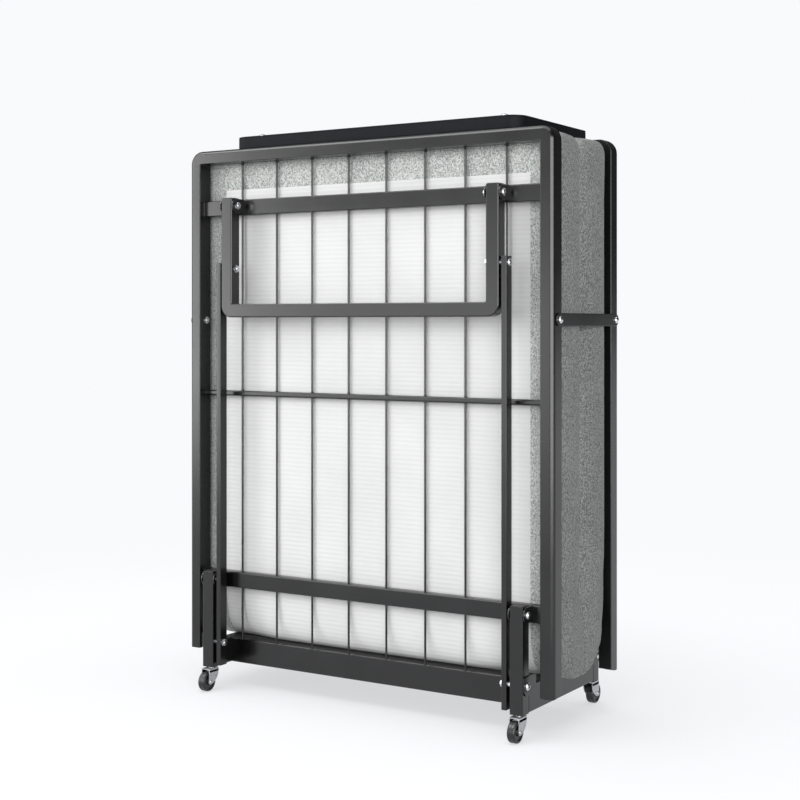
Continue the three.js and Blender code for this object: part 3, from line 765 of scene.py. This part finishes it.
def wire_grid(half, way):
    """A flat cross bar and eight wires, with a small weld where each wire meets a bar."""
    node = f"wire_grid_{half}"
    low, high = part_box("wire_grid_far")
    shell = Shell()
    back, front = sorted((way * (deck_low.y + 0.1 * MM), way * high.y))
    half_height = MID_BAR_HEIGHT / 2
    section = rounded_box(back, front, MID_BAR_Z - half_height, MID_BAR_Z + half_height, 3 * MM)
    shell.bar(section, "x", low.x, high.x)
    for _, side in SIDES:
        weld_bead(shell, section, side * high.x, 0.8 * MM)
    for i in range(WIRE_COUNT):
        x = (i - (WIRE_COUNT - 1) / 2) * WIRE_PITCH
        centre = (x, way * deck_low.y, 0)
        shell.turn([(WIRE_RADIUS, low.z), (WIRE_RADIUS, high.z)], "z", centre, steps=12)
        spot = [(WIRE_RADIUS, 0), (WIRE_RADIUS * 1.7, 1.2 * MM), (WIRE_RADIUS * 2, 2.4 * MM)]
        shell.turn([(r, high.z - 2.4 * MM + h) for r, h in spot], "z", centre, steps=12)
        for weld_z in (MID_BAR_Z - half_height, MID_BAR_Z + half_height):
            blob = [(0, -2.4 * MM), (2.4 * MM, -1.6 * MM), (3.1 * MM, 0), (2.4 * MM, 1.6 * MM), (0, 2.4 * MM)]
            shell.turn([(r, weld_z + h) for r, h in blob], "z", centre, steps=10)
    rigid_piece(f"painted_{node}", shell, PAINT, "black_paint", node)


# ---- Legs, links, posts and rails ----
def leg(half, way):
    node = f"leg_{half}"
    shell = Shell()
    back, front = sorted((way * leg_low.y, way * leg_high.y))
    outline = u_outline(LEG_OUTER, BAR, leg_low.z, leg_high.z, LEG_BEND, LEG_INNER_BEND)
    shell.prism(outline, "y", rim_stations(back, front, BAR_EDGE, 4), held=leg_high.z)
    rigid_piece(f"painted_{node}", shell, PAINT, "black_paint", node)
    plugs = Shell()
    for _, side in SIDES:
        x0, x1 = sorted((side * (LEG_INNER + PLUG_INSET), side * (LEG_OUTER - PLUG_INSET)))
        outline = rounded_box(x0, x1, back + PLUG_INSET, front - PLUG_INSET, 2 * MM)
        plugs.bar(outline, "z", leg_high.z - PLUG_INSET, leg_high.z + PLUG_RISE, PLUG_RISE / 2)
    rigid_piece(f"leg_end_plugs_{half}", plugs, CAP, "black_paint", body=BODY_OF[node])


def link(half, way, label, side):
    node = f"link_{half}_{label}"
    shell = Shell()
    low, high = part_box(node)
    section = rounded_box(low.x, high.x, low.y, high.y, 1.2 * MM, 3)
    shell.bar(section, "z", low.z, high.z, 1.2 * MM)
    rigid_piece(f"painted_{node}", shell, PAINT, "black_paint", node)


def post(half, way, label, side):
    """A square post with a gusset on its outside, where the link's bolt goes through."""
    node = f"post_{half}_{label}"
    shell = Shell()
    low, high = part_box(node)
    x0, x1 = sorted((side * POST_INNER, side * POST_OUTER))
    y0, y1 = sorted((way * (PIVOT_OUT - BAR / 2), way * (PIVOT_OUT + BAR / 2)))
    shell.bar(rounded_box(x0, x1, y0, y1, BAR_EDGE), "z", low.z, high.z)
    half_height = 16 * MM
    corner = 8 * MM
    inner, outer = way * 108 * MM, way * 152 * MM
    outline = [
        Vector((inner, PIVOT_D - half_height)),
        Vector((inner, PIVOT_D + half_height)),
        Vector((outer, PIVOT_D + half_height)),
        Vector((outer, PIVOT_D - half_height + corner)),
        Vector((outer - way * corner, PIVOT_D - half_height)),
    ]
    if way < 0:
        outline.reverse()
    outline.reverse()
    outer_x = high.x if side > 0 else low.x
    shell.bar(outline, "x", *sorted((side * POST_OUTER, outer_x)), 0.4 * MM)
    rigid_piece(f"painted_{node}", shell, PAINT, "black_paint", node)
    plug = Shell()
    outline = rounded_box(x0 + PLUG_INSET, x1 - PLUG_INSET, y0 + PLUG_INSET, y1 - PLUG_INSET, 2 * MM)
    plug.bar(outline, "z", high.z - PLUG_INSET, high.z + PLUG_RISE, PLUG_RISE / 2)
    rigid_piece(f"post_plug_{half}_{label}", plug, CAP, "black_paint", body=BODY_OF[node])


def rail(node, axis):
    shell = Shell()
    low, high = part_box(node)
    if axis == "x":
        section = rounded_box(low.y, high.y, low.z, high.z, RAIL_EDGE)
        shell.bar(section, "x", low.x, high.x)
    else:
        section = rounded_box(low.x, high.x, low.z, high.z, RAIL_EDGE)
        shell.bar(section, "y", low.y, high.y)
    rigid_piece(f"painted_{node}", shell, PAINT, "black_paint", node)


# ---- Fasteners ----
def pivot_bolt(node, side, head_height, nut_length, spacers=()):
    """A domed bolt along X: head and washer outside, nut inside, and spacers on its shank."""
    low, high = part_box(node)
    centre = (0, (low.y + high.y) / 2, (low.z + high.z) / 2)
    tip, top = (low.x, high.x) if side > 0 else (-high.x, -low.x)
    head_from = top - head_height
    nut_to = tip + nut_length
    shell = Shell()
    shell.turn([(SHANK_RADIUS, tip - WASHER_THICK), (SHANK_RADIUS, head_from)], "x", centre, side)
    shell.turn(dome(HEAD_RADIUS * 0.9, head_from, top, 0.8 * MM), "x", centre, side)
    for start in (head_from, nut_to - WASHER_THICK):
        washer = [(HEAD_RADIUS, start), (HEAD_RADIUS, start + WASHER_THICK)]
        shell.turn(washer, "x", centre, side)
    outline = hexagon(NUT_RADIUS, centre[1], centre[2])
    ends = sorted((side * tip, side * nut_to))
    shell.bar(outline, "x", *ends, 0.5 * MM)
    shell.turn(dome(SHANK_RADIUS, -tip, WASHER_THICK - tip), "x", centre, -side)
    for start, end in spacers:
        shell.turn([(SPACER_RADIUS, start), (SPACER_RADIUS, end)], "x", centre, side)
    rigid_piece(f"chrome_{node}", shell, CHROME, "chrome_plating", node)


def board_bolt(label):
    """A domed bolt down through the headboard and its tab."""
    node = f"headboard_bolt_{label}"
    low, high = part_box(node)
    _, board_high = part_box("headboard")
    centre = ((low.x + high.x) / 2, (low.y + high.y) / 2, 0)
    radius = (high.x - low.x) / 2
    shell = Shell()
    shell.turn([(SHANK_RADIUS, low.z - WASHER_THICK), (SHANK_RADIUS, board_high.z)], "z", centre)
    shell.turn([(radius, board_high.z), (radius, board_high.z + WASHER_THICK)], "z", centre)
    shell.turn(dome(radius * 0.86, board_high.z + WASHER_THICK, high.z, 1.2 * MM), "z", centre)
    shell.bar(hexagon(NUT_RADIUS, centre[0], centre[1]), "z", low.z, low.z + 2.8 * MM, 0.5 * MM)
    rigid_piece(f"chrome_{node}", shell, CHROME, "chrome_plating", node)


def latch_bar(label, side):
    """A flat bar from deck to deck, rounded at both ends, that hooks over the far stud."""
    node = f"latch_bar_{label}"
    low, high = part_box(node)
    middle = (low.z + high.z) / 2
    radius = (high.z - low.z) / 2
    reach = high.y - radius
    outline = arc(reach, middle, radius, -90, 90, BEND_STEPS) + arc(-reach, middle, radius, 90, 270, BEND_STEPS)
    shell = Shell()
    shell.bar(outline, "x", low.x, high.x, 0.7 * MM)
    rigid_piece(f"painted_{node}", shell, PAINT, "black_paint", node)


# ---- Casters ----
def caster(half, way, label, side):
    fork_node = f"caster_fork_{half}_{label}"
    wheel_node = f"caster_wheel_{half}_{label}"
    fork_low, fork_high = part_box(fork_node)
    wheel_low, wheel_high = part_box(wheel_node)
    x = (wheel_low.x + wheel_high.x) / 2
    axle_y = (wheel_low.y + wheel_high.y) / 2
    radius = (wheel_high.z - wheel_low.z) / 2
    half_wide = (wheel_high.x - wheel_low.x) / 2
    swivel_y = way * PIVOT_OUT
    top = post_low.z - CAP_GAP
    plate = 1.6 * MM
    inside = half_wide + 0.6 * MM
    crown = top - 2.6 * MM
    ahead, behind = axle_y + way * 4 * MM, swivel_y - way * 9 * MM
    boss = 5.6 * MM

    fork = Shell()
    # The crown and the two cheeks' tops are one folded plate.
    bend = 3 * MM
    skirt = crown - 7 * MM
    outer_fold = arc(inside + plate - bend, crown - bend, bend, 0, 90, 5)
    inner_fold = arc(inside - bend + plate, crown - bend, bend - plate, 90, 0, 5)
    right = [Vector((inside + plate, skirt)), *outer_fold]
    left = [Vector((-p.x, p.y)) for p in reversed(right)]
    under = [Vector((inside, skirt))]
    inner_right = [*inner_fold, *under]
    inner_left = [Vector((-p.x, p.y)) for p in reversed(inner_right)]
    section = [Vector((p.x + x, p.y)) for p in right + left + inner_left + inner_right]
    fork.bar(section, "y", *sorted((ahead, behind)))
    for _, cheek_side in SIDES:
        # The trailing edge curves from the crown's back down under the axle.
        start = Vector((behind, crown - 5 * MM))
        corner = Vector((behind, radius + 1 * MM))
        end = Vector((axle_y - way * boss * 0.4, radius - boss * 0.92))
        curve = []
        for i in range(9):
            t = i / 8
            curve.append(start * (1 - t) ** 2 + corner * 2 * t * (1 - t) + end * t * t)
        nose = arc(axle_y, radius, boss, *((-110, 20) if way > 0 else (290, 160)), 8)
        outline = [Vector((behind, crown)), *curve, *nose, Vector((ahead, crown))]
        if way < 0:
            outline.reverse()
        ends = sorted((x + cheek_side * inside, x + cheek_side * (inside + plate)))
        fork.bar(outline, "x", *ends, 0.4 * MM)
        fork.turn(dome(3.4 * MM, inside + plate, fork_high.x - x + 0.6 * MM), "x", (x, axle_y, radius), cheek_side)
    fork.turn([(2.6 * MM, -inside), (2.6 * MM, inside)], "x", (x, axle_y, radius))
    cup = [(9.2 * MM, top - 1 * MM), (9.6 * MM, top), (4 * MM, top)]
    fork.turn([(6 * MM, crown), (6 * MM, top - 1.2 * MM), *cup], "z", (x, swivel_y, 0))
    fork.turn([(4 * MM, crown), (4 * MM, fork_high.z)], "z", (x, swivel_y, 0), steps=20)
    rigid_piece(f"zinc_{fork_node}", fork, ZINC, "chrome_plating", fork_node)

    wheel = Shell()
    shoulder = 3 * MM
    profile = [(3.2 * MM, -half_wide + 0.6 * MM), (6 * MM, -half_wide + 0.2 * MM), (6.6 * MM, -half_wide + 2 * MM)]
    profile += [(radius - 5 * MM, -half_wide + 2 * MM), (radius - 4 * MM, -half_wide)]
    edge = arc(radius - shoulder, -half_wide + shoulder, shoulder, -90, 0, 5)
    profile += [(p.x, p.y) for p in edge]
    profile += [(radius, -0.5 * MM), (radius - 0.25 * MM, 0)]
    profile += [(r, -h) for r, h in reversed(profile[:-1])]
    wheel.turn(profile, "x", (x, axle_y, radius), steps=48, wrapped=True)
    rigid_piece(f"rubber_{wheel_node}", wheel, RUBBER, "wheel_rubber", wheel_node)


# ---- Headboard ----
def headboard():
    """A flat board with banded edges: rounder corners over the near deck than over the far one."""
    low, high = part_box("headboard")
    near, far = 30 * MM, 12 * MM
    outline = (
        arc(high.x - near, low.y + near, near, -90, 0, BEND_STEPS)
        + arc(high.x - far, high.y - far, far, 0, 90, BEND_STEPS)
        + arc(low.x + far, high.y - far, far, 90, 180, BEND_STEPS)
        + arc(low.x + near, low.y + near, near, 180, 270, BEND_STEPS)
    )
    groove = 0.4 * MM
    band = 1.6 * MM
    stations = rim_stations(low.z, high.z, 1.2 * MM, 3)
    middle = len(stations) // 2
    lines = []
    for z in (low.z + 1.2 * MM + band, high.z - 1.2 * MM - band):
        lines += [(z - groove, 0), (z, groove), (z + groove, 0)]
    shell = Shell()
    shell.prism(outline, "z", stations[:middle] + lines + stations[middle:])
    rigid_piece("laminate_headboard", shell, LAMINATE, "headboard_laminate", "headboard")


# ---- Mattress ----
MATTRESS_EDGE = 28 * MM
EDGE_SQUARENESS = 1.2
FOOT_HIGH = 220 * MM
FOOT_REACH = 60 * MM
BACKING_HALF = 329 * MM
BACKING_TOP = 957 * MM
FOLD_BOTTOM = 87 * MM
FAR_SPRING = 230 * MM
FAR_FULLNESS = 2.0
NEAR_SPRING = 215 * MM
NEAR_FULLNESS = 4.2
PINCH_REACH = 110 * MM
PINCH_SPRING = 20 * MM
PINCH_FULLNESS = -0.6
PINCH_LIFT = 2.5 * MM
HANG_REACH = 10 * MM
HANG_DEPTH = 3 * MM
HANG_FULLNESS = -1.6
TOP_SWELL = 3.5 * MM
SEAM_GAP = 1 * MM
REST_REACH = 2 * MM
UNDER_CELLS = 34
OVER_CELLS = 15
LADDER_LOW = 240 * MM
LADDER_HIGH = 985 * MM
CELL = 10.4 * MM
SIDE_CROWN = 3 * MM
SWELL_FRAMES = 20
SWELL_LIMIT = 4 * MM
FACE_SWELL = 1.2 * MM


def even_steps(start, end):
    count = max(1, round(abs(end - start) / CELL))
    return [start + (end - start) * i / count for i in range(1, count + 1)]


def resampled(points, count):
    """The same line in even cells, without its two end points."""
    lengths = [(b - a).length for a, b in zip(points, points[1:])]
    total = sum(lengths)
    made, walked, i = [], 0.0, 0
    for n in range(1, count):
        target = total * n / count
        while walked + lengths[i] < target:
            walked += lengths[i]
            i += 1
        made.append(points[i].lerp(points[i + 1], (target - walked) / lengths[i]))
    return made


def smooth_step(value):
    value = min(max(value, 0.0), 1.0)
    return value * value * (3 - 2 * value)


def fold_profile(way, x):
    """Where the foot's round springs from, how full it is and how low it hangs, at a place x.

    The near half lies full on its rail. Both halves are lifted a little by the side rails, and
    are rounder and hang a little lower outside them.
    """
    outside = smooth_step((abs(x) - side_rail_high.x) / HANG_REACH)
    pinch = smooth_step(1 - max(0.0, side_rail_low.x - abs(x)) / PINCH_REACH) * (1 - outside)
    lowest = FOLD_BOTTOM + PINCH_LIFT * pinch - HANG_DEPTH * outside
    if way > 0:
        return FAR_SPRING, FAR_FULLNESS, lowest
    fullness = NEAR_FULLNESS + PINCH_FULLNESS * pinch + HANG_FULLNESS * outside
    return NEAR_SPRING + PINCH_SPRING * pinch, fullness, lowest


def mattress_section(inner, face, top, way, x):
    """A half's section at x, in four parts of (distance from the mid-plane, height) points."""
    ladder = [LADDER_LOW]
    ladder += even_steps(LADDER_LOW, BACKING_TOP)
    ladder += even_steps(BACKING_TOP, LADDER_HIGH)
    spring, fullness, lowest = fold_profile(way, x)
    spring = min(spring, LADDER_LOW - MM)
    power = 2 / fullness
    arc_points = []
    for i in range(49):
        angle = i / 48 * math.pi / 2
        out = inner + (face - inner) * math.cos(angle) ** power
        height = spring - (spring - lowest) * math.sin(angle) ** power
        if out > cross_rail_low.y - REST_REACH and abs(x) < side_rail_high.x:
            height = max(height, cross_rail_high.z + CAP_GAP)
        arc_points.append(Vector((out, height)))
    bottom = [Vector((inner, LADDER_LOW)), *reversed(arc_points), Vector((face, LADDER_LOW))]
    edge = 24 * MM
    over = [Vector((face, LADDER_HIGH))]
    over += arc(face - edge, top - edge, edge, 0, 90, 8)
    over += arc(inner + edge, top - edge, edge, 90, 180, 8)
    over.append(Vector((inner, LADDER_HIGH)))
    under_points = resampled(bottom, UNDER_CELLS)
    over_points = resampled(over, OVER_CELLS)
    outer_side = [Vector((face, z)) for z in ladder]
    inner_side = [Vector((inner, z)) for z in reversed(ladder)]
    return under_points, outer_side, over_points, inner_side


def mattress_half(half, way):
    """Foam in a knit cover, with a sewn white backing on the deck side. It bends round at the foot."""
    node, fold = f"mattress_{half}", f"mattress_fold_{half}"
    low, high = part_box(f"mattress_far")
    inner, face, half_wide, top = low.y + SEAM_GAP, high.y, high.x, high.z + TOP_SWELL
    under, outer_side, over, inner_side = mattress_section(inner, face, top, way, 0.0)
    section = under + outer_side + over + inner_side
    count = len(section)
    thick = face - inner
    spine_low, spine_high = FOLD_BOTTOM + thick / 2, top - thick / 2

    def ring(x, share):
        points = []
        for p in sum(mattress_section(inner, face, top, way, x), []):
            spine = Vector((inner + thick / 2, min(max(p.y, spine_low), spine_high)))
            near_seam = max(0.0, 1 - (p.x - inner) / (0.2 * thick))
            low_down = max(0.0, min(1.0, (0.26 - p.y) / 0.12))
            held = near_seam * low_down
            at_foot = min(max((FOOT_HIGH - p.y) / FOOT_REACH, 0.0), 1.0)
            squareness = 1 + EDGE_SQUARENESS * max((p.x - inner) / thick, at_foot)
            place = p.lerp(spine, share ** squareness)
            place.x = place.x + (p.x - place.x) * held
            points.append(Vector((x, way * place.x, place.y)))
        return points

    flat = half_wide - MATTRESS_EDGE
    stations = [(-flat, 0)]
    stations += [(x, 0) for x in even_steps(-flat, -BACKING_HALF)]
    stations += [(x, 0) for x in even_steps(-BACKING_HALF, BACKING_HALF)]
    stations += [(x, 0) for x in even_steps(BACKING_HALF, flat)]
    rim = []
    edge_share = MATTRESS_EDGE / (thick / 2)
    for i in range(1, 6):
        angle = i / 5 * math.pi / 2
        rim.append((MATTRESS_EDGE * math.sin(angle), edge_share * (1 - math.cos(angle))))
    for share in (0.74, 0.92):
        rim.append((MATTRESS_EDGE + SIDE_CROWN * (share - edge_share), share))
    stations = [(-flat - out, share) for out, share in reversed(rim)] + stations
    stations += [(flat + out, share) for out, share in rim]

    shell = Shell()
    for x, share in stations:
        shell.vertices.extend(ring(x, share))
    backing_faces = set()
    outer_to = len(under) + len(outer_side)
    for r in range(len(stations) - 1):
        for i in range(count):
            j = (i + 1) % count
            a, b = r * count, (r + 1) * count
            inside = stations[r][0] >= -BACKING_HALF - TINY and stations[r + 1][0] <= BACKING_HALF + TINY
            on_outside = section[i].x > inner + TINY or section[j].x > inner + TINY
            below = max(section[i].y, section[j].y) <= BACKING_TOP + TINY and j < outer_to and on_outside
            if inside and below:
                backing_faces.add(len(shell.faces))
            shell.faces.append((a + i, a + j, b + j, b + i))
    for first in (0, (len(stations) - 1) * count):
        rungs = len(outer_side)
        outer_at = first + len(under)
        inner_at = first + count - 1
        for k in range(rungs - 1):
            shell.faces.append((outer_at + k, outer_at + k + 1, inner_at - k - 1, inner_at - k))
        shell.faces.append(tuple([inner_at] + [first + i for i in range(len(under) + 1)]))
        over_at = outer_at + rungs - 1
        shell.faces.append(tuple(over_at + i for i in range(len(over) + 2)))

    piece = make_object(f"knit_{node}", shell, [KNIT, BACKING])
    for i in backing_faces:
        piece.data.polygons[i].material_index = 1
    held = piece.vertex_groups.new(name="held")
    flat_rings = range(len(rim) + 2, len(stations) - len(rim) - 2)
    for r in range(len(stations)):
        for i, p in enumerate(section):
            weight = hold_weight(p, r in flat_rings, inner, face)
            held.add([r * count + i], weight, "REPLACE")
    plump(piece, way, inner, face)
    smooth = piece.modifiers.new("smooth", "SUBSURF")
    smooth.levels = smooth.render_levels = 1
    apply_modifiers(piece)
    keep_rest_place(piece)
    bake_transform(piece)
    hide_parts(node, fold)
    return piece


def hold_weight(point, on_flat, inner, face):
    """How firmly a point of the cover is held: against the wires, on the mid-plane and at the foot."""
    at_seam = point.x < inner + TINY
    at_face = point.x > face - TINY
    if at_seam and point.y < LADDER_LOW:
        return 1.0
    if on_flat and (at_seam or at_face):
        return 1.0
    if on_flat and point.y < LADDER_LOW:
        return 0.6
    return 0.0


def plump(piece, way, inner, face):
    """Swells the cover by a cloth simulation, then keeps it off the mid-plane and off the wires."""
    before = [vertex.co.copy() for vertex in piece.data.vertices]
    cloth = piece.modifiers.new("cover", "CLOTH")
    settings = cloth.settings
    settings.quality = 5
    settings.mass = 0.3
    settings.tension_stiffness = 15
    settings.bending_stiffness = 0.5
    settings.use_pressure = True
    settings.uniform_pressure_force = 4
    settings.effector_weights.gravity = 0
    settings.vertex_group_mass = "held"
    cloth.point_cache.frame_start = 1
    cloth.point_cache.frame_end = SWELL_FRAMES
    for frame_number in range(1, SWELL_FRAMES + 1):
        scene.frame_set(frame_number)
    apply_modifiers(piece)
    scene.frame_set(1)
    for vertex, start in zip(piece.data.vertices, before):
        moved = vertex.co - start
        if moved.length > SWELL_LIMIT:
            moved *= SWELL_LIMIT / moved.length
        place = start + moved
        out = min(max(way * place.y, inner), face + FACE_SWELL)
        vertex.co = (place.x, way * out, place.z)


def apply_modifiers(piece):
    graph = bpy.context.evaluated_depsgraph_get()
    final = bpy.data.meshes.new_from_object(piece.evaluated_get(graph))
    piece.modifiers.clear()
    piece.data = final
    final.shade_smooth()


def keep_rest_place(piece):
    """Stores each vertex's own place, which the fabric's weave follows when the piece bends."""
    mesh = piece.data
    places = mesh.attributes.new("rest_place", "FLOAT_VECTOR", "POINT")
    for i, vertex in enumerate(mesh.vertices):
        places.data[i].vector = vertex.co


# ---- The scene ----
scene.view_settings.view_transform = "Standard"
add_camera()
add_world()
floor = add_floor()
mattresses = []
for half, way in HALVES:
    deck_frame(half, way)
    crossbar("upper", half, way, PIVOT_B, LEG_INNER, LEG_OUTER)
    crossbar("lower", half, way, PIVOT_A, POST_INNER, POST_OUTER)
    wire_grid(half, way)
    leg(half, way)
    rail(f"cross_rail_{half}", "x")
    mattresses.append(mattress_half(half, way))
    for label, side in SIDES:
        corner = f"{half}_{label}"
        link(half, way, label, side)
        post(half, way, label, side)
        caster(half, way, label, side)
        pivot_bolt(f"deck_bolt_{corner}", side, 4.6 * MM, 2.5 * MM)
        pivot_bolt(f"leg_bolt_{corner}", side, 4 * MM, 5 * MM)
        pivot_bolt(f"link_top_bolt_{corner}", side, 4.6 * MM, 5 * MM, [(LEG_OUTER, link_low.x)])
        pivot_bolt(f"link_base_bolt_{corner}", side, 4.6 * MM, 4.5 * MM, [(link_high.x, POST_INNER)])
for label, side in SIDES:
    rail(f"side_rail_{label}", "y")
    latch_bar(label, side)
    pivot_bolt(f"latch_bolt_{label}", side, 4.1 * MM, 3.5 * MM)
    pivot_bolt(f"latch_stud_{label}", side, 4.1 * MM, 3.5 * MM)
    board_bolt(label)
headboard()
add_softbox("left_softbox", (-2.7, -2.2, 1.15), (0, -0.1, 1.0), (1.2, 2.0), 5.2, [floor])
add_softbox("front_softbox", (-1.2, -3.1, 0.58), (0, -0.1, 0.58), (2.8, 0.85), 2.0, [floor], diffuse=False)
add_softbox("right_softbox", (2.4, -2.1, 1.0), (0, -0.1, 0.9), (3.6, 1.9), 6.5, [floor], diffuse=False)
add_softbox("upper_softbox", (-1.7, -1.4, 3.2), (0, -0.1, 1.0), (2.6, 1.8), 5.0, [floor], diffuse=False)
add_softbox("front_key", (-1.4, -3.6, 1.8), (0, 0, 0.6), (4.0, 3.2), 2.4, [floor], gloss=False)
add_softbox("side_key", (2.6, -2.8, 1.3), (0, 0, 0.5), (1.6, 1.6), 6.0, [floor], gloss=False)
add_softbox("ceiling_softbox", (0, -1.0, 8.0), (0, 0, 0), (8.0, 8.0), 2.3, mattresses)
